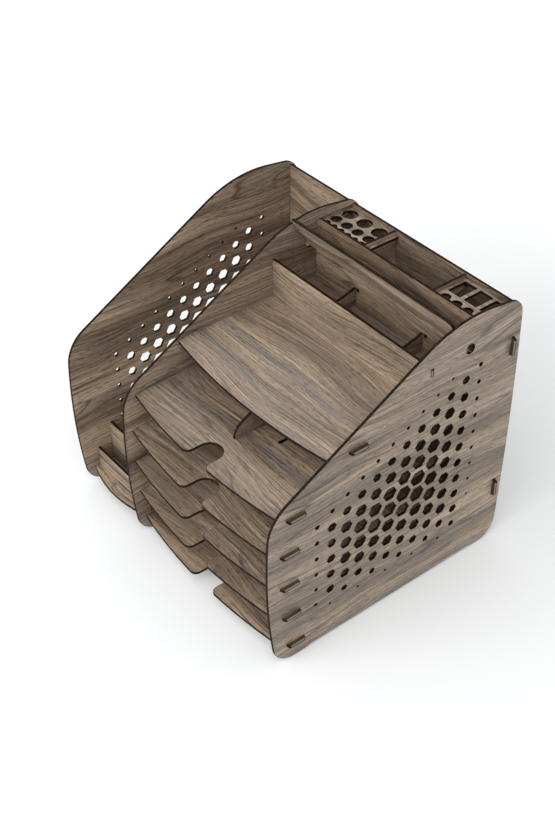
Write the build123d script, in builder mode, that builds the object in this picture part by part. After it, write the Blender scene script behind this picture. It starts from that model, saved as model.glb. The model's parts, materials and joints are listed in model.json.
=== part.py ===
from build123d import *
import math
import os

os.makedirs("parts", exist_ok=True)

# Desktop document rack, cut from thin plywood and held together by tenons in slots.
# Millimetres. X runs to the right, Y to the back, Z up from the desk.
# Depths are measured back from the front line of the side panels, heights from the desk.

# Sheet and joints
ply = 3.0
fit_gap = 0.15
tenon_length = 20.0
short_tenon = 12.0
small_tenon = 8.0
dot_tenon = 3.0
tenon_proud = 4.0
small_tenon_proud = 1.0
tip_cut = 1.4
running_gap = 0.5
foot_gap = 0.3

# Overall spaces
tower_width = 221.0
file_width = 96.0

# Side panel outline, its slope starting below the level of the shelf
slope = 29.6
slope_drop = 35.75
rear_line = 292.3
crest_inset = 80.6
top_fall = 8.0
front_lean = 8.6
front_bulge = 1.5
front_bulge_height = 121.0
rear_bulge = 3.9
rear_bulge_height = 152.0
bottom_front_radius = 26.0
slope_radius = 42.0
crest_radius = 126.0
top_rear_radius = 20.0
bottom_rear_radius = 24.0
front_foot_end = 40.0
rear_foot_length = 28.3
foot_ramp = 10.0
arch_rise = 2.3

# Perforated field of the outer side panels
hole_pitch = 20.0
first_hole_depth = 54.8
first_hole_drop = 33.8
hole_columns = 12
largest_hole = 9.0
least_hole = 1.2
hole_fade = 70.7
field_margin = 5.6
field_lean = 0.026
field_bottom = 40.8
bottom_gain = 0.83

# Trays and shelf
tray_pitch = 40.25
bottom_tray_height = 21.0
tray_setbacks = [15.0, 9.8, 7.5, 7.5, 14.4]
tray_bulge = 10.0
tray_tenon_inset = 15.8
rear_tenon_inset = 55.0
notch_width = 26.0
notch_depth = 30.0
notch_mouth_radius = 7.0
shelf_setback = 67.0
shelf_tenon_inset = 32.5

# Back panel, its top measured from the shelf
back_inset = 9.3
back_rise = 70.05
back_bottom = 6.0
lower_back_tenon = 69.3
upper_back_tenon_rise = 22.95
lap_height = 148.0

# Walls that stand on the shelf, measured up from it
pen_bay = 43.0
compartment_bay = 52.5
front_wall_rise = 45.15
front_wall_tenon_rise = 40.45
rear_wall_rise = 71.75
rear_wall_radius = 7.0
wall_tenon_spread = 80.0
left_cell = 62.5
right_cell = 59.5
dot_rise = 18.75
cross_tenon_rise = 32.75
cross_wall_rise = 69.25

# Low dividers of the lidded compartment
left_divider_offset = 58.5
right_divider_offset = 64.0
divider_front_rise = 12.75
divider_dip_rise = 14.65
divider_dip_offset = 30.5
divider_rear_rise = 20.75

# Pen grids; each row has its place as a share of the pen bay, from the back panel forward
grid_rise = 64.75
grid_overhang = 3.2
round_grid_offset = 30.6
window_grid_offset = 28.8
large_pen = 15.9
medium_pen = 11.3
small_pen = 7.0
large_pen_pitch = 21.6
medium_pen_pitch = 15.9
small_pen_pitch = 10.2
large_pen_row = 0.24
medium_pen_row = 0.614
small_pen_row = 0.865
window_width = 15.4
window_length = 22.2
window_pitch = 20.0
window_row = 0.349
round_pen = 10.4
round_pen_pitch = 14.3
round_pen_row = 0.83

# Lid of the compartment
pivot_inset = 7.8
pivot_rise = 45.25
peg_width = 9.6
peg_gap = 0.15
peg_proud = 1.0
lid_overhang = 0.3
lid_bow = 1.6
lid_corner_radius = 6.0
lid_angle = 56.0

# File bay beside the tower
file_setback = 15.4
file_bulge = 8.6
file_tenon_depth = 90.0
front_lip_depth = 21.0
front_lip_rise = 23.6
front_lip_tenon_rise = 12.0
rear_lip_depth = 38.5
rear_lip_rise = 50.0
rear_lip_tenon_rise = 21.0

# Movable partitions
partition_setback = 49.0
partition_depth = 150.0
partition_nose_radius = 18.0
slit_setback = 78.0
slit_spacing = 30.0

# Derived places
overall_width = tower_width + file_width + 3 * ply
front_line = -(rear_line + rear_bulge + min(tray_setbacks) - tray_bulge) / 2
right_outer = overall_width / 2
right_inner = right_outer - ply
left_outer = -overall_width / 2
left_inner = left_outer + ply
tower_left = right_inner - tower_width
tower_middle = (tower_left + right_inner) / 2
file_right = tower_left - ply
file_middle = (left_inner + file_right) / 2
shelf_height = bottom_tray_height + tray_pitch * len(tray_setbacks)
tray_heights = [bottom_tray_height + tray_pitch * i for i in range(len(tray_setbacks))]
slope_start = shelf_height - slope_drop
crest_depth = rear_line - crest_inset
first_hole_height = slope_start - first_hole_drop
last_hole_depth = first_hole_depth + (hole_columns - 1) * hole_pitch * math.sqrt(3) / 2
back_depth = rear_line - back_inset
back_top = shelf_height + back_rise
back_tenon_heights = [lower_back_tenon, shelf_height + upper_back_tenon_rise]
rear_wall_depth = back_depth - pen_bay - ply
rear_wall_back = rear_wall_depth + ply
rear_wall_top = shelf_height + rear_wall_rise
front_wall_depth = rear_wall_depth - compartment_bay - ply
front_wall_back = front_wall_depth + ply
front_wall_tenon_height = shelf_height + front_wall_tenon_rise
pen_middle_depth = rear_wall_back + pen_bay / 2
dot_height = shelf_height + dot_rise
cross_tenon_height = shelf_height + cross_tenon_rise
grid_height = shelf_height + grid_rise
pivot_depth = rear_wall_depth - pivot_inset
pivot_height = shelf_height + pivot_rise
lid_reach = pivot_depth - front_wall_depth + lid_overhang
front_lip_tenon_height = bottom_tray_height + front_lip_tenon_rise
rear_lip_tenon_height = bottom_tray_height + rear_lip_tenon_rise
slot_length = tenon_length + 2 * fit_gap
slot_width = ply + 2 * fit_gap
rear_tenon_places = [tower_left + rear_tenon_inset, right_inner - rear_tenon_inset]
wall_tenon_places = [tower_middle - wall_tenon_spread, tower_middle + wall_tenon_spread]
left_cross = tower_left + left_cell + ply / 2
right_cross = right_inner - right_cell - ply / 2
left_divider = tower_left + left_divider_offset + ply / 2
right_divider = right_inner - right_divider_offset - ply / 2
divider_tenon_depth = (front_wall_back + rear_wall_depth) / 2
round_grid_middle = tower_left + round_grid_offset
window_grid_middle = right_inner - window_grid_offset
pivot_hole = math.hypot(peg_width, ply) + 2 * peg_gap


def side_plane(x):
    # Looking along X: the first coordinate is the depth, the second the height.
    return Plane(origin=(x, front_line, 0), x_dir=(0, 1, 0), z_dir=(1, 0, 0))


def level_plane(height):
    # Looking down: the first coordinate is X, the second the depth.
    return Plane(origin=(0, front_line, height), x_dir=(1, 0, 0), z_dir=(0, 0, 1))


def cross_plane(depth):
    # Looking from the front: X and height, with the front face of a sheet at this depth.
    return Plane(origin=(0, front_line + depth + ply, 0), x_dir=(1, 0, 0), z_dir=(0, -1, 0))


def save(builder, name):
    builder.part.label = name
    export_step(builder.part, f"parts/{name}.step")


def slope_line(depth):
    return slope_start + depth * math.tan(math.radians(slope))


def hole_radius(depth, height):
    # The open share of a hole grows with its distance from the nearest side of the field,
    # and the sides lean a little against the rows of holes.
    along = depth - first_hole_depth
    below = first_hole_height - height
    front_gap = field_margin + along - below * field_lean
    slope_gap = field_margin + (below + along / math.sqrt(3)) * math.sqrt(3) / 2
    slope_gap -= along * field_lean
    rear_gap = field_margin + last_hole_depth - depth - (below + along / 2) * field_lean
    bottom_gap = (height - field_bottom) * bottom_gain
    share = min(front_gap, slope_gap, rear_gap, bottom_gap, hole_fade) / hole_fade
    return largest_hole * math.sqrt(max(share, 0))


def hole_places():
    places = []
    for column in range(hole_columns):
        depth = first_hole_depth + column * hole_pitch * math.sqrt(3) / 2
        height = first_hole_height + column * hole_pitch / 2
        while height > field_bottom:
            if hole_radius(depth, height) >= least_hole:
                places.append((depth, height))
            height -= hole_pitch
    return places


def side_panel(inner_left, perforated, level_slots, upright_slots):
    # level_slots and upright_slots hold (depth, height, length) for each slot.
    crest = (crest_depth, slope_line(crest_depth))
    fall = math.tan(math.radians(top_fall))
    top_rear = (rear_line + 0.9, crest[1] - (rear_line - crest_depth) * fall)
    bottom_front = (front_lean, 0)
    bottom_rear = (rear_line, 0)
    with BuildPart() as panel:
        with BuildSketch(side_plane(inner_left)) as outline:
            with BuildLine():
                ThreePointArc(
                    bottom_front, (-front_bulge, front_bulge_height), (1.6, slope_line(1.6))
                )
                Polyline((1.6, slope_line(1.6)), crest, top_rear)
                ThreePointArc(
                    top_rear, (rear_line + rear_bulge, rear_bulge_height), bottom_rear
                )
                Polyline(
                    bottom_rear,
                    (rear_line - rear_foot_length, 0),
                    (rear_line - rear_foot_length - foot_ramp, arch_rise),
                    (front_foot_end + foot_ramp, arch_rise),
                    (front_foot_end, 0),
                    bottom_front,
                )
            make_face()
            rounded = [
                (bottom_front, bottom_front_radius),
                ((1.6, slope_line(1.6)), slope_radius),
                (crest, crest_radius),
                (top_rear, top_rear_radius),
                (bottom_rear, bottom_rear_radius),
            ]
            for corner, radius in rounded:
                fillet(outline.vertices().sort_by_distance((corner[0], corner[1], 0))[0], radius)
            for depth, height, length in level_slots:
                with Locations((depth, height)):
                    Rectangle(length + 2 * fit_gap, slot_width, mode=Mode.SUBTRACT)
            for depth, height, length in upright_slots:
                with Locations((depth, height)):
                    Rectangle(slot_width, length + 2 * fit_gap, mode=Mode.SUBTRACT)
            if perforated:
                for depth, height in hole_places():
                    with Locations((depth, height)):
                        RegularPolygon(hole_radius(depth, height), 6, mode=Mode.SUBTRACT)
        extrude(amount=ply)
    return panel


def sheet_middle(top):
    return top - ply / 2


def tongue(across, along):
    # Tenon centred on its shoulder, with clipped tips.
    x = across / 2
    y = along / 2
    Polygon(
        (x, y - tip_cut),
        (x - tip_cut, y),
        (tip_cut - x, y),
        (-x, y - tip_cut),
        (-x, tip_cut - y),
        (tip_cut - x, -y),
        (x - tip_cut, -y),
        (x, tip_cut - y),
    )


back_slots = [(back_depth + ply / 2, height, tenon_length) for height in back_tenon_heights]
tray_slots = [
    (setback + tray_tenon_inset, sheet_middle(height), tenon_length)
    for setback, height in zip(tray_setbacks, tray_heights)
]
shelf_tenon_depth = shelf_setback + shelf_tenon_inset
shelf_slot = (shelf_tenon_depth, sheet_middle(shelf_height), tenon_length)
front_wall_slot = (front_wall_depth + ply / 2, front_wall_tenon_height, small_tenon)
file_floor_slot = (file_tenon_depth, sheet_middle(bottom_tray_height), tenon_length)
lip_slots = [
    (front_lip_depth + ply / 2, front_lip_tenon_height, short_tenon),
    (rear_lip_depth + ply / 2, rear_lip_tenon_height, tenon_length),
]

# Right side panel: trays, shelf, compartment wall and back panel come through it.
right_panel = side_panel(
    right_inner,
    True,
    tray_slots + [shelf_slot],
    back_slots + [front_wall_slot],
)
with BuildPart() as right_side_panel:
    add(right_panel.part)
    with Locations(side_plane(right_inner)):
        with Locations((pivot_depth, pivot_height)):
            Hole(pivot_hole / 2, depth=2 * ply)
save(right_side_panel, "right_side_panel")

# Middle side panel: carries the left ends of the trays and the right ends of the file bay.
middle_panel = side_panel(
    file_right,
    False,
    tray_slots + [shelf_slot, file_floor_slot],
    [front_wall_slot] + lip_slots,
)
with BuildPart() as middle_side_panel:
    add(middle_panel.part)
    with Locations(side_plane(file_right)):
        with Locations((pivot_depth, pivot_height)):
            Hole(pivot_hole / 2, depth=2 * ply)
    with BuildSketch(side_plane(file_right)):
        with Locations((back_depth + ply / 2, lap_height / 2)):
            Rectangle(slot_width, lap_height)
    extrude(amount=ply, mode=Mode.SUBTRACT)
save(middle_side_panel, "middle_side_panel")

# Left side panel: closes the file bay.
left_side_panel = side_panel(
    left_outer,
    True,
    [file_floor_slot],
    back_slots + lip_slots,
)
save(left_side_panel, "left_side_panel")


def document_tray(height, setback, slits):
    bulge_front = setback - tray_bulge
    with BuildPart() as tray:
        with BuildSketch(level_plane(height - ply)) as sheet:
            with BuildLine():
                ThreePointArc(
                    (tower_left, setback), (tower_middle, bulge_front), (right_inner, setback)
                )
                Polyline(
                    (right_inner, setback),
                    (right_inner, back_depth),
                    (tower_left, back_depth),
                    (tower_left, setback),
                )
            make_face()
            notch_centre = bulge_front + notch_depth - notch_width / 2
            with Locations((tower_middle, notch_centre)):
                Circle(notch_width / 2, mode=Mode.SUBTRACT)
                Rectangle(
                    notch_width,
                    2 * notch_depth,
                    align=(Align.CENTER, Align.MAX),
                    mode=Mode.SUBTRACT,
                )
            for side in (-1, 1):
                mouth = (tower_middle + side * notch_width / 2, bulge_front, 0)
                fillet(sheet.vertices().sort_by_distance(mouth)[0], notch_mouth_radius)
            with Locations((right_inner, setback + tray_tenon_inset)):
                tongue(2 * (ply + tenon_proud), tenon_length)
            with Locations((tower_left, setback + tray_tenon_inset)):
                Rectangle(2 * ply, tenon_length)
            with Locations([(x, back_depth) for x in rear_tenon_places]):
                tongue(tenon_length, 2 * (ply + tenon_proud))
            if slits:
                for place in (tower_middle, tower_middle + slit_spacing):
                    with Locations((place, slit_setback)):
                        Rectangle(
                            slot_width,
                            slot_length,
                            align=(Align.CENTER, Align.MIN),
                            mode=Mode.SUBTRACT,
                        )
        extrude(amount=ply)
    return tray


# Five document trays, numbered from the top
for i, (height, setback) in enumerate(zip(tray_heights, tray_setbacks)):
    number = len(tray_setbacks) - i
    save(document_tray(height, setback, number <= 2), f"document_tray_{number}")

# Display shelf, which is also the floor of the lidded compartment and of the pen bay
with BuildPart() as display_shelf:
    with BuildSketch(level_plane(shelf_height - ply)):
        with BuildLine():
            ThreePointArc(
                (tower_left, shelf_setback),
                (tower_middle, shelf_setback - tray_bulge),
                (right_inner, shelf_setback),
            )
            Polyline(
                (right_inner, shelf_setback),
                (right_inner, back_depth),
                (tower_left, back_depth),
                (tower_left, shelf_setback),
            )
        make_face()
        with Locations((right_inner, shelf_tenon_depth)):
            tongue(2 * (ply + tenon_proud), tenon_length)
        with Locations((tower_left, shelf_tenon_depth)):
            Rectangle(2 * ply, tenon_length)
        with Locations([(x, back_depth) for x in rear_tenon_places]):
            tongue(tenon_length, 2 * (ply + tenon_proud))
        for wall_depth in (front_wall_depth, rear_wall_depth):
            with Locations([(x, wall_depth + ply / 2) for x in wall_tenon_places]):
                Rectangle(slot_length, slot_width, mode=Mode.SUBTRACT)
        with Locations([(x, pen_middle_depth) for x in (left_cross, right_cross)]):
            Rectangle(slot_width, slot_length, mode=Mode.SUBTRACT)
        with Locations([(x, divider_tenon_depth) for x in (left_divider, right_divider)]):
            Rectangle(slot_width, slot_length, mode=Mode.SUBTRACT)
    extrude(amount=ply)
save(display_shelf, "display_shelf")

# Back panel, slotted from the top over the middle side panel
with BuildPart() as back_panel:
    with BuildSketch(cross_plane(back_depth)):
        with Locations(((left_inner + right_inner) / 2, back_bottom)):
            Rectangle(
                right_inner - left_inner,
                back_top - back_bottom,
                align=(Align.CENTER, Align.MIN),
            )
        for height in back_tenon_heights:
            with Locations((left_inner, height), (right_inner, height)):
                tongue(2 * (ply + tenon_proud), tenon_length)
        with Locations((file_right + ply / 2, back_top)):
            Rectangle(
                slot_width,
                back_top - lap_height,
                align=(Align.CENTER, Align.MAX),
                mode=Mode.SUBTRACT,
            )
        for height in tray_heights + [shelf_height]:
            with Locations([(x, sheet_middle(height)) for x in rear_tenon_places]):
                Rectangle(slot_length, slot_width, mode=Mode.SUBTRACT)
        with Locations((file_middle, sheet_middle(bottom_tray_height))):
            Rectangle(slot_length, slot_width, mode=Mode.SUBTRACT)
        with Locations([(x, cross_tenon_height) for x in (left_cross, right_cross)]):
            Rectangle(slot_width, slot_length, mode=Mode.SUBTRACT)
        with Locations([(x, sheet_middle(grid_height)) for x in (round_grid_middle, window_grid_middle)]):
            Rectangle(slot_length, slot_width, mode=Mode.SUBTRACT)
    extrude(amount=ply)
save(back_panel, "back_panel")

# Front wall of the lidded compartment
with BuildPart() as compartment_front_wall:
    with BuildSketch(cross_plane(front_wall_depth)):
        with Locations((tower_middle, shelf_height)):
            Rectangle(tower_width, front_wall_rise, align=(Align.CENTER, Align.MIN))
        with Locations((right_inner, front_wall_tenon_height)):
            Rectangle(2 * (ply + small_tenon_proud), small_tenon)
        with Locations((tower_left, front_wall_tenon_height)):
            Rectangle(2 * ply, small_tenon)
        with Locations([(x, shelf_height) for x in wall_tenon_places]):
            Rectangle(tenon_length, 2 * ply)
    extrude(amount=ply)
save(compartment_front_wall, "compartment_front_wall")

# Wall between the lidded compartment and the pen bay
with BuildPart() as compartment_rear_wall:
    with BuildSketch(cross_plane(rear_wall_depth)) as sheet:
        with Locations((tower_middle, shelf_height)):
            Rectangle(tower_width, rear_wall_rise, align=(Align.CENTER, Align.MIN))
        for x in (tower_left, right_inner):
            corner = (x, rear_wall_top, 0)
            fillet(sheet.vertices().sort_by_distance(corner)[0], rear_wall_radius)
        with Locations([(x, shelf_height) for x in wall_tenon_places]):
            Rectangle(tenon_length, 2 * ply)
        with Locations([(x, dot_height) for x in (left_cross, right_cross)]):
            Rectangle(slot_width, dot_tenon + 2 * fit_gap, mode=Mode.SUBTRACT)
    extrude(amount=ply)
save(compartment_rear_wall, "compartment_rear_wall")


def cross_wall(x):
    # Upright wall across the pen bay. Its slot opens forward and laps the slot of the pen grid.
    with BuildPart() as wall:
        with BuildSketch(side_plane(x - ply / 2)):
            with Locations((pen_middle_depth, shelf_height)):
                Rectangle(pen_bay, cross_wall_rise, align=(Align.CENTER, Align.MIN))
            with Locations((pen_middle_depth, shelf_height)):
                Rectangle(tenon_length, 2 * ply)
            with Locations((rear_wall_back, dot_height)):
                Rectangle(2 * ply, dot_tenon)
            with Locations((back_depth, cross_tenon_height)):
                tongue(2 * (ply + tenon_proud), tenon_length)
            with Locations((pen_middle_depth + fit_gap, sheet_middle(grid_height))):
                Rectangle(
                    pen_bay, slot_width, align=(Align.MAX, Align.CENTER), mode=Mode.SUBTRACT
                )
        extrude(amount=ply)
    return wall


save(cross_wall(left_cross), "pen_bay_left_wall")
save(cross_wall(right_cross), "pen_bay_right_wall")


def compartment_divider(x):
    # Low divider with a scooped top that rises to the rear wall.
    with BuildPart() as divider:
        with BuildSketch(side_plane(x - ply / 2)):
            with BuildLine():
                ThreePointArc(
                    (front_wall_back, shelf_height + divider_front_rise),
                    (front_wall_back + divider_dip_offset, shelf_height + divider_dip_rise),
                    (rear_wall_depth, shelf_height + divider_rear_rise),
                )
                Polyline(
                    (rear_wall_depth, shelf_height + divider_rear_rise),
                    (rear_wall_depth, shelf_height),
                    (front_wall_back, shelf_height),
                    (front_wall_back, shelf_height + divider_front_rise),
                )
            make_face()
            with Locations((divider_tenon_depth, shelf_height)):
                Rectangle(tenon_length, 2 * ply)
        extrude(amount=ply)
    return divider


save(compartment_divider(left_divider), "compartment_left_divider")
save(compartment_divider(right_divider), "compartment_right_divider")

# Pen grid with three rows of round holes
with BuildPart() as round_pen_grid:
    with BuildSketch(level_plane(grid_height - ply)):
        with Locations((tower_left, pen_middle_depth)):
            Rectangle(left_cell + ply + grid_overhang, pen_bay, align=(Align.MIN, Align.CENTER))
        with Locations((left_cross, pen_middle_depth - fit_gap)):
            Rectangle(slot_width, pen_bay, align=(Align.CENTER, Align.MIN), mode=Mode.SUBTRACT)
        with Locations((round_grid_middle, back_depth)):
            tongue(tenon_length, 2 * (ply + tenon_proud))
        rows = [
            (large_pen, large_pen_pitch, 3, large_pen_row),
            (medium_pen, medium_pen_pitch, 4, medium_pen_row),
            (small_pen, small_pen_pitch, 6, small_pen_row),
        ]
        for size, pitch, count, row in rows:
            with Locations((round_grid_middle, back_depth - row * pen_bay)):
                with GridLocations(pitch, pitch, count, 1):
                    Circle(size / 2, mode=Mode.SUBTRACT)
    extrude(amount=ply)
save(round_pen_grid, "round_pen_grid")

# Pen grid with oblong windows and a row of round holes
with BuildPart() as window_pen_grid:
    with BuildSketch(level_plane(grid_height - ply)):
        with Locations((right_inner, pen_middle_depth)):
            Rectangle(right_cell + ply + grid_overhang, pen_bay, align=(Align.MAX, Align.CENTER))
        with Locations((right_cross, pen_middle_depth - fit_gap)):
            Rectangle(slot_width, pen_bay, align=(Align.CENTER, Align.MIN), mode=Mode.SUBTRACT)
        with Locations((window_grid_middle, back_depth)):
            tongue(tenon_length, 2 * (ply + tenon_proud))
        with Locations((window_grid_middle, back_depth - window_row * pen_bay)):
            with GridLocations(window_pitch, window_pitch, 3, 1):
                Rectangle(window_width, window_length, mode=Mode.SUBTRACT)
        with Locations((window_grid_middle, back_depth - round_pen_row * pen_bay)):
            with GridLocations(round_pen_pitch, round_pen_pitch, 4, 1):
                Circle(round_pen / 2, mode=Mode.SUBTRACT)
    extrude(amount=ply)
save(window_pen_grid, "window_pen_grid")

# Lid, standing open on two flat pegs that turn in round holes
lid_lean = math.radians(lid_angle)
lid_plane = Plane(
    origin=(0, front_line + pivot_depth, pivot_height),
    x_dir=(1, 0, 0),
    z_dir=(0, -math.sin(lid_lean), -math.cos(lid_lean)),
)
lid_left = tower_left + running_gap
lid_right = right_inner - running_gap
with BuildPart() as compartment_lid:
    with BuildSketch(lid_plane) as sheet:
        with BuildLine():
            ThreePointArc(
                (lid_left, lid_reach - lid_bow),
                (tower_middle, lid_reach),
                (lid_right, lid_reach - lid_bow),
            )
            Polyline(
                (lid_right, lid_reach - lid_bow),
                (lid_right, -peg_width / 2),
                (lid_left, -peg_width / 2),
                (lid_left, lid_reach - lid_bow),
            )
        make_face()
        for x in (lid_left, lid_right):
            corner = (x, lid_reach - lid_bow, 0)
            fillet(sheet.vertices().sort_by_distance(corner)[0], lid_corner_radius)
        with Locations((lid_left, 0), (lid_right, 0)):
            Rectangle(2 * (running_gap + ply + peg_proud), peg_width)
    extrude(amount=ply / 2, both=True)
save(compartment_lid, "compartment_lid")

# Floor of the file bay
with BuildPart() as file_bay_floor:
    with BuildSketch(level_plane(bottom_tray_height - ply)):
        with BuildLine():
            ThreePointArc(
                (left_inner, file_setback),
                (file_middle, file_setback - file_bulge),
                (file_right, file_setback),
            )
            Polyline(
                (file_right, file_setback),
                (file_right, back_depth),
                (left_inner, back_depth),
                (left_inner, file_setback),
            )
        make_face()
        with Locations((left_inner, file_tenon_depth)):
            tongue(2 * (ply + tenon_proud), tenon_length)
        with Locations((file_right, file_tenon_depth)):
            Rectangle(2 * ply, tenon_length)
        with Locations((file_middle, back_depth)):
            tongue(tenon_length, 2 * (ply + tenon_proud))
        for lip_depth in (front_lip_depth, rear_lip_depth):
            with Locations((file_middle, lip_depth + ply / 2)):
                Rectangle(slot_length, slot_width, mode=Mode.SUBTRACT)
    extrude(amount=ply)
save(file_bay_floor, "file_bay_floor")


def file_lip(depth, rise, tenon_height, side_tenon):
    with BuildPart() as lip:
        with BuildSketch(cross_plane(depth)):
            with Locations((file_middle, bottom_tray_height)):
                Rectangle(file_width, rise, align=(Align.CENTER, Align.MIN))
            with Locations((left_inner, tenon_height)):
                tongue(2 * (ply + tenon_proud), side_tenon)
            with Locations((file_right, tenon_height)):
                Rectangle(2 * ply, side_tenon)
            with Locations((file_middle, bottom_tray_height)):
                Rectangle(tenon_length, 2 * ply)
        extrude(amount=ply)
    return lip


# Two upright lips across the front of the file bay
front_lip = file_lip(front_lip_depth, front_lip_rise, front_lip_tenon_height, short_tenon)
save(front_lip, "file_bay_front_lip")
rear_lip = file_lip(rear_lip_depth, rear_lip_rise, rear_lip_tenon_height, tenon_length)
save(rear_lip, "file_bay_rear_lip")


def partition(tray_index):
    # Loose upright partition with a rounded, sloping nose, standing on a tray.
    foot = tray_heights[tray_index] + foot_gap
    top = foot - 2 * foot_gap + tray_pitch - ply
    setback = partition_setback + tray_setbacks[tray_index] - tray_setbacks[-1]
    rear = setback + partition_depth
    turn = 90 - slope
    with BuildPart() as sheet:
        with BuildSketch(side_plane(tower_middle - ply / 2)):
            with BuildLine():
                nose = JernArc((setback, foot), (0, 1), partition_nose_radius, -turn)
                rise = top - (nose @ 1).Y
                shoulder = ((nose @ 1).X + rise / math.tan(math.radians(slope)), top)
                Polyline(nose @ 1, shoulder, (rear, top), (rear, foot), (setback, foot))
            make_face()
        extrude(amount=ply)
    return sheet


save(partition(len(tray_setbacks) - 1), "upper_tray_partition")
save(partition(len(tray_setbacks) - 2), "lower_tray_partition")
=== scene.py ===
import json
import math
import bmesh
import bpy
from mathutils import Euler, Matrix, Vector


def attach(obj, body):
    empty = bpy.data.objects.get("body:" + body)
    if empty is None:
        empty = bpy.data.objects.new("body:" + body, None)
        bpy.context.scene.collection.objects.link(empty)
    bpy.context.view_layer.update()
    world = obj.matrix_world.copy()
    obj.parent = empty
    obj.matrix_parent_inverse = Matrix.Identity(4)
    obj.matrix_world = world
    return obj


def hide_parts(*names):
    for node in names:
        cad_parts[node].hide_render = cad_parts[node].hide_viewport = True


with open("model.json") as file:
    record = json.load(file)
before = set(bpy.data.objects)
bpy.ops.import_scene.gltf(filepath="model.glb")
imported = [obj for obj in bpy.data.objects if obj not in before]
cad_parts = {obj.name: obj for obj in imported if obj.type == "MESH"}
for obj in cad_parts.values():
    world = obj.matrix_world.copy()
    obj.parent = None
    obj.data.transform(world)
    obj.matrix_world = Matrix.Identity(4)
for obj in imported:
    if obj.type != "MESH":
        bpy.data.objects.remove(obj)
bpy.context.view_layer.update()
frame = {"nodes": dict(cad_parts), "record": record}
scene = bpy.context.scene
print("frame loaded:", len(frame["nodes"]), "boards")

bodies = frame["record"]["behaviour"]["bodies"]
bodyOf = {node: body for body, nodes in bodies.items() for node in nodes}


class Value:
    # One output socket of a shader node, so that sums on it add their own Math nodes

    def __init__(self, paint, node, output):
        self.paint = paint
        self.node = node
        self.socket = node.outputs[output]

    def out(self, output):
        return Value(self.paint, self.node, output)

    def sum(self, operation, first, second):
        return self.paint.make("ShaderNodeMath", {"operation": operation}, {0: first, 1: second})

    def __add__(self, other):
        return self.sum("ADD", self, other)

    def __radd__(self, other):
        return self.sum("ADD", other, self)

    def __sub__(self, other):
        return self.sum("SUBTRACT", self, other)

    def __rsub__(self, other):
        return self.sum("SUBTRACT", other, self)

    def __mul__(self, other):
        return self.sum("MULTIPLY", self, other)

    def __rmul__(self, other):
        return self.sum("MULTIPLY", other, self)

    def size(self):
        return self.paint.make("ShaderNodeMath", {"operation": "ABSOLUTE"}, {0: self})

    def fade(self, low, high):
        # 0 below low, 1 above high, smooth between
        return self.paint.make(
            "ShaderNodeMapRange",
            {"interpolation_type": "SMOOTHSTEP"},
            {"Value": self, "From Min": low, "From Max": high},
        )


class Paint:
    # A material and its node tree

    def __init__(self, name):
        self.material = bpy.data.materials.new(name)
        self.material.use_nodes = True
        self.tree = self.material.node_tree
        self.tree.nodes.clear()

    def make(self, kind, settings=None, sockets=None, output=0):
        node = self.tree.nodes.new(kind)
        for key, value in (settings or {}).items():
            if key == "stops":
                ramp = node.color_ramp
                for place, colour in value[2:]:
                    ramp.elements.new(place)
                for element, (place, colour) in zip(ramp.elements, sorted(value)):
                    element.position = place
                    element.color = (*colour, 1)
            else:
                setattr(node, key, value)
        for key, value in (sockets or {}).items():
            if isinstance(value, Value):
                self.tree.links.new(value.socket, node.inputs[key])
            else:
                node.inputs[key].default_value = value
        return Value(self, node, output)

    def mix(self, share, first, second, blend="MIX"):
        colours = {}
        for key, colour in ((6, first), (7, second)):
            colours[key] = colour if isinstance(colour, Value) else (*colour, 1)
        settings = {"data_type": "RGBA", "blend_type": blend}
        return self.make("ShaderNodeMix", settings, {0: share, **colours}, 2)

    def noise(self, place, scale, detail, rough=0.5):
        return self.make(
            "ShaderNodeTexNoise",
            {},
            {"Vector": place, "Scale": scale, "Detail": detail, "Roughness": rough},
        )

    def zigzag(self, value):
        # Runs from 0 up to 1 and back for each whole step of the value
        return self.make("ShaderNodeMath", {"operation": "PINGPONG"}, {0: value, 1: 0.5}) * 2

    def split(self, vector):
        return self.make("ShaderNodeSeparateXYZ", {}, {0: vector})

    def finish(self, shader):
        surface = self.tree.nodes.new("ShaderNodeOutputMaterial")
        self.tree.links.new(shader.socket, surface.inputs["Surface"])
        return self.material

    def skin(self, sockets):
        return self.finish(self.make("ShaderNodeBsdfPrincipled", {}, sockets))


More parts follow.
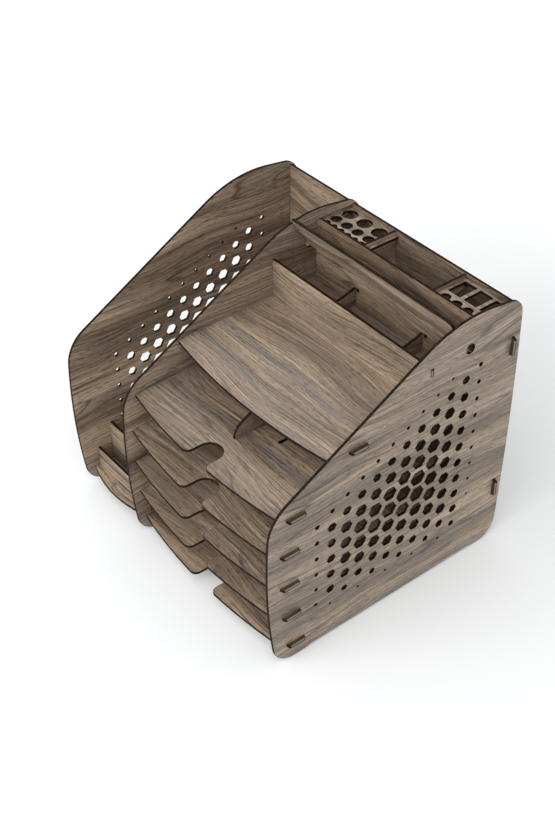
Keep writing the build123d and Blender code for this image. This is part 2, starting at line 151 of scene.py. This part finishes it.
# Walnut veneer, in linear colour. A mark of the grain is given by its length and width in
# millimetres, its place in the noise, and the detail and roughness of that noise. A fade gives
# the values of the noise between which the mark comes in.
walnut = {
    "dark": (0.088, 0.062, 0.043),
    "brown": (0.222, 0.163, 0.113),
    "tan": (0.440, 0.335, 0.235),
    # Grey: partly the veneer's own grey bands, partly a painted sheen, the cool reflection of the
    # bright surroundings
    "smoke": (0.150, 0.134, 0.124),
    "brownAt": 0.42,        # where brown stands between dark and tan
    "sway": (170, 80, 0.0, 1.0),
    "swayDepth": 34.0,      # millimetres
    "ripple": (60, 30, 3.3, 1.0),
    "rippleDepth": 3.0,     # millimetres
    "band": (420, 26, 1.7, 2.0),
    "bandFade": (0.28, 0.72),
    "bandShare": 0.62,
    "greyAndSheenBand": (380, 17, 17.9, 2.0),
    "greyAndSheenFade": (0.50, 0.66),
    "ring": (420, 34, 23.1, 1.0),
    "ringCount": 9.0,
    "ringFade": (0.0, 0.22),
    "ringBreak": (190, 24, 31.7),
    "ringBreakFade": (0.34, 0.56),
    "ringDepth": 0.62,
    "streak": (260, 3.4, 4.1, 3.0, 0.55),
    "streakFade": (0.20, 0.80),
    "streakShare": 0.38,
    "thread": (60, 1.0, 8.9, 1.0, 0.45),
    "threadDepth": 2.6,
    "threadFrom": 0.27,
    "pore": (8.0, 0.9, 12.3, 1.0),
    "poreFade": (0.54, 0.68),
    "poreDepth": 0.56,
    "poreBump": -0.8,
    "tongue": 0.14,         # share of its light that a tongue keeps where it stands out
    "tongueFade": (0.0, 0.0003),
    "roughness": 0.44,
    "roughSpread": 0.2,
    "coatRoughness": 0.32,
    "bumpHeight": 0.00005,  # metres
    "bumpStrength": 0.5,
    "seedStep": 7.31,       # how far apart the boards lie in the noise
}
reach = {"side": 0.1631, "back": 0.1393}    # metres, past which a tongue stands out of the rack
perMetre = 1000                             # millimetres


def boardPlace(paint, look):
    # Object coordinates, and the same in millimetres with the board turned to lie flat
    place = paint.make("ShaderNodeTexCoord", output="Object")
    turned = paint.make(
        "ShaderNodeMapping",
        {"vector_type": "POINT"},
        {"Vector": place, "Rotation": look["turn"], "Scale": (perMetre, perMetre, perMetre)},
    )
    return place, turned


def veneer(name, look, seed):
    # Grain runs along the local X of the board, local Y is across it, and local Z goes through it
    paint = Paint(name)
    place, turned = boardPlace(paint, look)
    part = paint.split(turned)
    along, across = part.out(0), part.out(1)

    def fibre(length, width, shift, detail=2.0, rough=0.5):
        # Noise stretched along the grain
        spot = paint.make(
            "ShaderNodeCombineXYZ",
            {},
            {
                0: along * (1 / length),
                1: across * (1 / width),
                2: seed * walnut["seedStep"] + shift,
            },
        )
        return paint.noise(spot, 1.0, detail, rough)

    across = across + (fibre(*walnut["sway"]) - 0.5) * walnut["swayDepth"]
    across = across + (fibre(*walnut["ripple"]) - 0.5) * walnut["rippleDepth"]
    band = fibre(*walnut["band"])
    greyAndSheenNoise = fibre(*walnut["greyAndSheenBand"])
    rings = fibre(*walnut["ring"]) * walnut["ringCount"]
    ringLine = paint.zigzag(rings)
    streak = fibre(*walnut["streak"])
    thread = fibre(*walnut["thread"])
    pore = fibre(*walnut["pore"])

    # Broad bands and fine streaks choose the colour between dark and tan
    figure = look["figure"]
    broad = band.fade(*walnut["bandFade"]) * (walnut["bandShare"] * figure)
    fine = streak.fade(*walnut["streakFade"]) * (walnut["streakShare"] * figure)
    stops = [
        (0.0, walnut["dark"]),
        (1.0, walnut["tan"]),
        (walnut["brownAt"], walnut["brown"]),
    ]
    body = broad + fine + (1 - figure) / 2
    colour = paint.make("ShaderNodeValToRGB", {"stops": stops}, {0: body})
    # Grey patches: partly the veneer's own grey bands, partly a painted sheen of the bright
    # surroundings, strongest on the level boards and the lid
    greyAndSheenShare = greyAndSheenNoise.fade(*walnut["greyAndSheenFade"]) * look["smoke"]
    colour = paint.mix(greyAndSheenShare, colour, walnut["smoke"])

    # Ring lines, threads and pores darken it
    ring = 1 - ringLine.fade(*walnut["ringFade"])
    ringShown = fibre(*walnut["ringBreak"]).fade(*walnut["ringBreakFade"])
    line = 1 - ring * ringShown * (walnut["ringDepth"] * figure)
    speck = 1 - pore.fade(*walnut["poreFade"]) * walnut["poreDepth"]
    weave = thread * walnut["threadDepth"] - walnut["threadFrom"]
    # Tone: painted light and shade, the veneer lighter or darker for the light its kind of board
    # gets in the rack
    shade = weave * line * speck * look["tone"]
    if look["tongues"]:
        apart = paint.split(place)
        out = paint.make(
            "ShaderNodeMath",
            {"operation": "MAXIMUM"},
            {0: apart.out(0).size() - reach["side"], 1: apart.out(1) - reach["back"]},
        )
        shade = shade * (1 - out.fade(*walnut["tongueFade"]) * (1 - walnut["tongue"]))
    shadeColour = paint.make("ShaderNodeCombineColor", {}, {0: shade, 1: shade, 2: shade})
    colour = paint.mix(1.0, colour, shadeColour, "MULTIPLY")
    bump = paint.make(
        "ShaderNodeBump",
        {},
        {
            "Strength": walnut["bumpStrength"],
            "Distance": walnut["bumpHeight"],
            "Height": thread + pore * walnut["poreBump"],
        },
    )
    return paint.skin({
        "Base Color": colour,
        "Roughness": walnut["roughness"] + (thread - 0.5) * walnut["roughSpread"],
        "Normal": bump,
        "Coat Weight": look["sheen"],
        "Coat Roughness": walnut["coatRoughness"],
    })


# Laser-cut edge: char outside, the plies just showing in the middle of the sheet
cutEdge = {
    "sheet": 3,             # thickness in millimetres
    "char": (0.011, 0.006, 0.004),
    "ply": (0.034, 0.020, 0.013),
    "plyFade": (0.25, 0.75),
    "sootScale": 0.35,
    "sootDetail": 3.0,
    "sootFade": (0.36, 0.72),
    "roughness": 0.7,
    "roughSpread": 0.2,
    "gloss": 0.06,
}


def throughSheet(paint, look, low):
    # The turned place on the board, and how far through the sheet it lies, from 0 to 1
    turned = boardPlace(paint, look)[1]
    return turned, (paint.split(turned).out(2) - low) * (1 / cutEdge["sheet"])


def charred(name, look, low):
    paint = Paint(name)
    turned, through = throughSheet(paint, look, low)
    soot = paint.noise(turned, cutEdge["sootScale"], cutEdge["sootDetail"])
    core = (1 - (through - 0.5).size() * 2).fade(*cutEdge["plyFade"])
    bare = core * soot.fade(*cutEdge["sootFade"])
    colour = paint.mix(bare, cutEdge["char"], cutEdge["ply"])
    return paint.skin({
        "Base Color": colour,
        "Roughness": cutEdge["roughness"] + (soot - 0.5) * cutEdge["roughSpread"],
        "Specular IOR Level": cutEdge["gloss"],
    })


# End of a tongue where it stands out of a panel: paler, with the plies as lines
tongueEnd = {
    "pale": (0.225, 0.170, 0.118),
    "glue": (0.110, 0.076, 0.050),
    "glueFade": (0.0, 0.4),
    "glueShare": 0.35,
    "plies": 3,
    "char": (0.030, 0.019, 0.013),
    "charShare": 0.3,
    "sootScale": 0.5,
    "sootDetail": 2.0,
    "sootFade": (0.5, 0.8),
    "roughness": 0.6,
    "roughSpread": 0.2,
}


def tonguePaint(name, look, low):
    paint = Paint(name)
    turned, through = throughSheet(paint, look, low)
    soot = paint.noise(turned, tongueEnd["sootScale"], tongueEnd["sootDetail"])
    plies = paint.zigzag(through * tongueEnd["plies"])
    glue = (1 - plies.fade(*tongueEnd["glueFade"])) * tongueEnd["glueShare"]
    colour = paint.mix(glue, tongueEnd["pale"], tongueEnd["glue"])
    char = soot.fade(*tongueEnd["sootFade"]) * tongueEnd["charShare"]
    colour = paint.mix(char, colour, tongueEnd["char"])
    return paint.skin({
        "Base Color": colour,
        "Roughness": tongueEnd["roughness"] + (soot - 0.5) * tongueEnd["roughSpread"],
    })


# Arris: the scorched line where a face meets a cut edge; on the lower side of a tongue's end its
# rim is scorch and painted shade together. Lengths are in metres.
arris = {
    "width": 0.00036,
    "sharpFrom": 35,        # degrees between two faces, past which their edge is eased
    "flatUnder": 0.3,       # degrees, under which two faces are joined first
    "smoothUnder": 15,      # degrees, under which an edge is shaded smooth
    "merge": 1e-6,
    "tongueRim": 0.0009,
    "rimRoom": 2.2,         # least width of a tongue's end that gets a rim, in rims
    "cleanSide": 0.0004,    # how far above its middle the rim of the end stays pale, free of scorch and painted shade
    "paleSideLean": 0.5,
    "scorchAndShadeColour": (0.010, 0.006, 0.004),
    "brown": (0.028, 0.017, 0.011),
    "sootScale": 400.0,
    "sootDetail": 2.0,
    "sootFade": (0.4, 0.7),
    "roughness": 0.6,
    "roughSpread": 0.2,
    "gloss": 0.06,
}


def arrisPaint():
    paint = Paint("scorched arris and tongue shade")
    place = paint.make("ShaderNodeTexCoord", output="Object")
    soot = paint.noise(place, arris["sootScale"], arris["sootDetail"])
    bare = soot.fade(*arris["sootFade"])
    return paint.skin({
        "Base Color": paint.mix(bare, arris["scorchAndShadeColour"], arris["brown"]),
        "Roughness": arris["roughness"] + (soot - 0.5) * arris["roughSpread"],
        "Specular IOR Level": arris["gloss"],
    })


arrisMaterial = arrisPaint()


# A face's lean is how far it looks along the sheet's axis, from 0 to 1
sorter = {
    "veneerLean": 0.999,
    "edgeLean": 0.05,
    "outward": 0.9,         # how far a tongue's end looks out of the rack
    "never": 1.0,           # metres, a reach that no tongue has
}


def sortTree():
    # Gives each face of a board its finish by a rule: which way it looks, and how far out it is
    tree = bpy.data.node_groups.new("sortBoardFaces", "GeometryNodeTree")
    tree.is_modifier = True
    tree.interface.new_socket("Geometry", in_out="OUTPUT", socket_type="NodeSocketGeometry")
    tree.interface.new_socket("Geometry", in_out="INPUT", socket_type="NodeSocketGeometry")
    for label, kind in (
        ("Sheet axis", "NodeSocketVector"),
        ("Veneer lean", "NodeSocketFloat"),
        ("Edge lean", "NodeSocketFloat"),
        ("Side reach", "NodeSocketFloat"),
        ("Back reach", "NodeSocketFloat"),
        ("Veneer", "NodeSocketMaterial"),
        ("Cut edge", "NodeSocketMaterial"),
        ("Arris", "NodeSocketMaterial"),
        ("Tongue end", "NodeSocketMaterial"),
    ):
        tree.interface.new_socket(label, in_out="INPUT", socket_type=kind)

    def add(kind, settings, sockets):
        node = tree.nodes.new(kind)
        for key, value in settings.items():
            setattr(node, key, value)
        for key, value in sockets.items():
            if isinstance(value, bpy.types.NodeSocket):
                tree.links.new(value, node.inputs[key])
            else:
                node.inputs[key].default_value = value
        return node

    def compare(operation, first, second):
        settings = {"data_type": "FLOAT", "operation": operation}
        return add("FunctionNodeCompare", settings, {0: first, 1: second}).outputs[0]

    def above(first, second):
        return compare("GREATER_THAN", first, second)

    def logic(operation, first, second):
        settings = {"operation": operation}
        return add("FunctionNodeBooleanMath", settings, {0: first, 1: second}).outputs[0]

    def size(value):
        return add("ShaderNodeMath", {"operation": "ABSOLUTE"}, {0: value}).outputs[0]

    def split(vector):
        return add("ShaderNodeSeparateXYZ", {}, {0: vector}).outputs

    start = tree.nodes.new("NodeGroupInput").outputs
    normal = tree.nodes.new("GeometryNodeInputNormal").outputs["True Normal"]
    middle = tree.nodes.new("GeometryNodeInputPosition").outputs[0]
    product = {"operation": "DOT_PRODUCT"}
    dot = add("ShaderNodeVectorMath", product, {0: normal, 1: start["Sheet axis"]})
    lean = size(dot.outputs["Value"])
    place = split(middle)
    look = split(normal)
    outward = sorter["outward"]
    farAside = above(size(place[0]), start["Side reach"])
    farBack = above(place[1], start["Back reach"])
    onSide = logic("AND", farAside, above(size(look[0]), outward))
    onBack = logic("AND", farBack, above(look[1], outward))
    end = logic("OR", onSide, onBack)
    edge = compare("LESS_THAN", lean, start["Edge lean"])
    flow = add("GeometryNodeRealizeInstances", {}, {0: start["Geometry"]}).outputs[0]
    for chosen, label in (
        (None, "Arris"),
        (above(lean, start["Veneer lean"]), "Veneer"),
        (edge, "Cut edge"),
        (logic("AND", edge, end), "Tongue end"),
    ):
        paints = {"Geometry": flow, "Material": start[label]}
        if chosen:
            paints["Selection"] = chosen
        flow = add("GeometryNodeSetMaterial", {}, paints).outputs[0]
    finish = tree.nodes.new("NodeGroupOutput")
    tree.links.new(flow, finish.inputs[0])
    return tree


boardSorter = sortTree()
sockets = boardSorter.interface.items_tree
socketOf = {item.name: item.identifier for item in sockets if item.in_out == "INPUT"}


def rimAndShadeTongues(mesh, turn):
    # The end of each tongue gets a dark rim on its lower and short sides, drawn as a narrow ring
    # of faces: scorch, and painted shade for the shadow under the tongue. On the top or front face
    # of the sheet, where the light falls, the rim and the tongue's arris stay pale.
    # Faces too narrow for a rim on both sides are scorched all over.
    finish = [material.name if material else "" for material in mesh.materials]
    ends = [number for number, name in enumerate(finish) if name.endswith("tongue end")]
    scorchAndShadeSlot = finish.index(arrisMaterial.name)
    work = bmesh.new()
    work.from_mesh(mesh)
    tips = []
    for face in work.faces:
        if face.material_index in ends:
            narrowest = min(edge.calc_length() for edge in face.edges)
            if narrowest > arris["rimRoom"] * arris["tongueRim"]:
                tips.append(face)
            else:
                face.material_index = scorchAndShadeSlot
    for tip in tips:
        middle = (turn @ tip.calc_center_median()).z
        for edge in tip.edges:
            for face in edge.link_faces:
                paleSide = (turn @ face.normal).z > arris["paleSideLean"]
                if face.material_index == scorchAndShadeSlot and paleSide:
                    face.material_index = tip.material_index
        ring = bmesh.ops.inset_individual(
            work, faces=[tip], thickness=arris["tongueRim"], use_even_offset=True
        )
        for face in ring["faces"]:
            # Rim faces below this height are darkened: scorch, and painted shade for the shadow
            # under the tongue
            if (turn @ face.calc_center_median()).z - middle < arris["cleanSide"]:
                face.material_index = scorchAndShadeSlot
    work.to_mesh(mesh)
    work.free()


def softBoard(node, look, seed):
    # The visible board: the CAD board with its arrises eased, then each face sorted to its finish
    words = node.split("_")
    name = words[0] + "".join(word.capitalize() for word in words[1:])
    work = bmesh.new()
    work.from_mesh(frame["nodes"][node].data)
    bmesh.ops.remove_doubles(work, verts=work.verts, dist=arris["merge"])
    flat = math.radians(arris["flatUnder"])
    bmesh.ops.dissolve_limit(work, angle_limit=flat, verts=work.verts, edges=work.edges)
    mesh = bpy.data.meshes.new(name)
    work.to_mesh(mesh)
    work.free()
    turn = Euler(look["turn"]).to_matrix()
    low = min((turn @ vertex.co).z for vertex in mesh.vertices) * perMetre
    board = bpy.data.objects.new(name, mesh)
    scene.collection.objects.link(board)
    ease = board.modifiers.new("arris", "BEVEL")
    ease.width = arris["width"]
    ease.segments = 1
    ease.limit_method = "ANGLE"
    ease.angle_limit = math.radians(arris["sharpFrom"])
    ease.use_clamp_overlap = False
    sort = board.modifiers.new("sort", "NODES")
    sort.node_group = boardSorter
    for label, value in {
        "Sheet axis": turn.transposed() @ Vector((0, 0, 1)),
        "Veneer lean": sorter["veneerLean"],
        "Edge lean": sorter["edgeLean"],
        "Side reach": reach["side"] if look["tongues"] else sorter["never"],
        "Back reach": reach["back"] if look["tongues"] else sorter["never"],
        "Veneer": veneer(name + " veneer", look, seed),
        "Cut edge": charred(name + " cut edge", look, low),
        "Arris": arrisMaterial,
        "Tongue end": tonguePaint(name + " tongue end", look, low),
    }.items():
        sort[socketOf[label]] = value
    graph = bpy.context.evaluated_depsgraph_get()
    eased = bpy.data.meshes.new_from_object(board.evaluated_get(graph))
    board.modifiers.clear()
    board.data = eased
    eased.name = name
    bpy.data.meshes.remove(mesh)
    rimAndShadeTongues(eased, turn)
    for face in eased.polygons:
        face.use_smooth = True
    eased.set_sharp_from_angle(angle=math.radians(arris["smoothUnder"]))
    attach(board, bodyOf[node])
    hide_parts(node)


# How each kind of board is turned, so that its grain is local X and its face looks along local Z
quarter = math.pi / 2
lidAngle = math.radians(56)
upright = (-quarter, -quarter, 0)
facing = (-quarter, 0, 0)
level = (0, 0, 0)
leaning = (lidAngle, 0, 0)

# Kinds of board: the tone is how light each kind's veneer is painted, as painted light and shade
# for the light that kind gets in the rack; the grey is how strong its grey patches are, partly its
# own grey bands and partly a painted sheen of the bright surroundings; figure is how strong its
# grain is, sheen is its coat, and tongues says that its tongues may stand out of the rack
rightPanel = {
    "nodes": ["right_side_panel"],
    "turn": upright,
    "tone": 0.98,
    "smoke": 0.36,
    "figure": 1.0,
    "sheen": 0.25,
    "tongues": False,
}
middlePanel = {
    "nodes": ["middle_side_panel"],
    "turn": upright,
    "tone": 1.0,
    "smoke": 0.35,
    "figure": 1.0,
    "sheen": 0.15,
    "tongues": False,
}
leftPanel = {
    "nodes": ["left_side_panel"],
    "turn": upright,
    "tone": 1.27,
    "smoke": 0.35,
    "figure": 1.0,
    "sheen": 0.15,
    "tongues": False,
}
upperTrays = {
    "nodes": ["document_tray_1", "document_tray_2"],
    "turn": level,
    "tone": 0.98,
    "smoke": 0.6,
    "figure": 0.7,
    "sheen": 0.5,
    "tongues": True,
}
lowerTrays = {
    "nodes": ["document_tray_3", "document_tray_4", "document_tray_5"],
    "turn": level,
    "tone": 1.14,
    "smoke": 0.4,
    "figure": 0.7,
    "sheen": 0.5,
    "tongues": True,
}
shelfAndFloor = {
    "nodes": ["display_shelf", "file_bay_floor"],
    "turn": level,
    "tone": 1.04,
    "smoke": 0.6,
    "figure": 0.7,
    "sheen": 0.5,
    "tongues": True,
}
penGrids = {
    "nodes": ["round_pen_grid", "window_pen_grid"],
    "turn": level,
    "tone": 1.05,
    "smoke": 0.3,
    "figure": 1.0,
    "sheen": 0.3,
    "tongues": True,
}
backBoard = {
    "nodes": ["back_panel"],
    "turn": facing,
    "tone": 0.84,
    "smoke": 0.15,
    "figure": 1.0,
    "sheen": 0.2,
    "tongues": True,
}
frontWall = {
    "nodes": ["compartment_front_wall"],
    "turn": facing,
    "tone": 0.86,
    "smoke": 0.05,
    "figure": 0.8,
    "sheen": 0.2,
    "tongues": True,
}
fileLips = {
    "nodes": ["file_bay_front_lip", "file_bay_rear_lip"],
    "turn": facing,
    "tone": 1.06,
    "smoke": 0.15,
    "figure": 0.8,
    "sheen": 0.2,
    "tongues": True,
}
rearWall = {
    "nodes": ["compartment_rear_wall"],
    "turn": facing,
    "tone": 1.34,
    "smoke": 0.05,
    "figure": 0.8,
    "sheen": 0.2,
    "tongues": True,
}
crossWalls = {
    "nodes": [
        "pen_bay_left_wall", "pen_bay_right_wall", "compartment_left_divider",
        "compartment_right_divider", "upper_tray_partition", "lower_tray_partition",
    ],
    "turn": upright,
    "tone": 1.15,
    "smoke": 0.15,
    "figure": 1.0,
    "sheen": 0.2,
    "tongues": True,
}
lidBoard = {
    "nodes": ["compartment_lid"],
    "turn": leaning,
    "tone": 1.36,
    "smoke": 0.8,
    "figure": 1.0,
    "sheen": 0.3,
    "tongues": False,
}

seed = 1
for kind in (
    rightPanel, middlePanel, leftPanel, upperTrays, lowerTrays, shelfAndFloor,
    penGrids, backBoard, frontWall, fileLips, rearWall, crossWalls, lidBoard,
):
    for node in kind["nodes"]:
        softBoard(node, kind, seed)
        seed += 1
print("boards dressed:", seed - 1)


white = (1, 1, 1, 1)

# Pale floor; for the camera it is lifted to white away from the rack, and it keeps the shadow.
# Lengths are in metres.
floorLook = {
    "size": 8.0,
    "colour": (0.79, 0.805, 0.81),
    "lift": 0.06,
    "farLift": 0.40,
    "liftFrom": 0.25,
    "liftTo": 1.2,
}


def makeFloor():
    half = floorLook["size"] / 2
    mesh = bpy.data.meshes.new("studioFloor")
    rim = [(-half, -half, 0), (half, -half, 0), (half, half, 0), (-half, half, 0)]
    mesh.from_pydata(rim, [], [(0, 1, 2, 3)])
    floor = bpy.data.objects.new("studioFloor", mesh)
    scene.collection.objects.link(floor)
    paint = Paint("studio floor")
    matt = paint.make("ShaderNodeBsdfDiffuse", {}, {"Color": (*floorLook["colour"], 1)})
    place = paint.make("ShaderNodeTexCoord", output="Object")
    away = paint.make("ShaderNodeVectorMath", {"operation": "LENGTH"}, {0: place}, 1)
    far = away.fade(floorLook["liftFrom"], floorLook["liftTo"])
    lift = far * (floorLook["farLift"] - floorLook["lift"]) + floorLook["lift"]
    ray = paint.make("ShaderNodeLightPath")
    seen = ray.out("Is Camera Ray") + ray.out("Is Glossy Ray") + ray.out("Is Transmission Ray")
    glow = paint.make("ShaderNodeEmission", {}, {"Color": white, "Strength": seen * lift})
    mesh.materials.append(paint.finish(paint.make("ShaderNodeAddShader", {}, {0: matt, 1: glow})))


makeFloor()

# Soft studio light: a high lamp on the camera's side, and a lower and smaller one in front.
# The world lights the rack softly, and the camera sees it white.
studio = {
    "worldStrength": 0.76,
    "seenStrength": 1.0,
    "highPlace": (1.2, -1.2, 3.0),
    "highSize": 2.0,
    "highPower": 36.0,
    "frontPlace": (-0.15, -1.5, 0.75),
    "frontSize": 1.2,
    "frontPower": 20.0,
    "target": (0.0, 0.0, 0.15),
}


def lamp(name, place, size, power):
    light = bpy.data.lights.new(name, "AREA")
    light.shape = "SQUARE"
    light.size = size
    light.energy = power
    holder = bpy.data.objects.new(name, light)
    holder.location = place
    aim = Vector(studio["target"]) - Vector(place)
    holder.rotation_euler = aim.to_track_quat("-Z", "Y").to_euler()
    scene.collection.objects.link(holder)


lamp("highLamp", studio["highPlace"], studio["highSize"], studio["highPower"])
lamp("frontLamp", studio["frontPlace"], studio["frontSize"], studio["frontPower"])

world = bpy.data.worlds.new("studio")
scene.world = world
world.use_nodes = True
sky = world.node_tree
sky.nodes.clear()
rays = sky.nodes.new("ShaderNodeLightPath")
choose = sky.nodes.new("ShaderNodeMixShader")
for slot, strength in ((1, studio["worldStrength"]), (2, studio["seenStrength"])):
    glow = sky.nodes.new("ShaderNodeBackground")
    glow.inputs["Color"].default_value = white
    glow.inputs["Strength"].default_value = strength
    sky.links.new(glow.outputs[0], choose.inputs[slot])
skyOut = sky.nodes.new("ShaderNodeOutputWorld")
seen = rays.outputs["Is Camera Ray"]
for other in ("Is Glossy Ray", "Is Transmission Ray"):
    either = sky.nodes.new("ShaderNodeMath")
    either.operation = "MAXIMUM"
    sky.links.new(seen, either.inputs[0])
    sky.links.new(rays.outputs[other], either.inputs[1])
    seen = either.outputs[0]
sky.links.new(seen, choose.inputs[0])
sky.links.new(choose.outputs[0], skyOut.inputs[0])

# Camera, from the lattice of holes in the photograph: metres, degrees, and millimetres of lens
view = {
    "place": (0.80248, -0.63791, 0.98209),
    "turn": (50.1532, 0.2436, 51.6673),
    "lens": 57.811,
    "sensor": 36,
    "nearest": 0.01,
    "farthest": 50,
}
lensData = bpy.data.cameras.new("camera")
lensData.sensor_fit = "VERTICAL"
lensData.sensor_height = view["sensor"]
lensData.lens = view["lens"]
lensData.clip_start = view["nearest"]
lensData.clip_end = view["farthest"]
camera = bpy.data.objects.new("camera", lensData)
camera.location = view["place"]
camera.rotation_euler = tuple(math.radians(angle) for angle in view["turn"])
scene.collection.objects.link(camera)
scene.camera = camera
scene.view_settings.view_transform = "Standard"
print("stage, lamps and camera set")
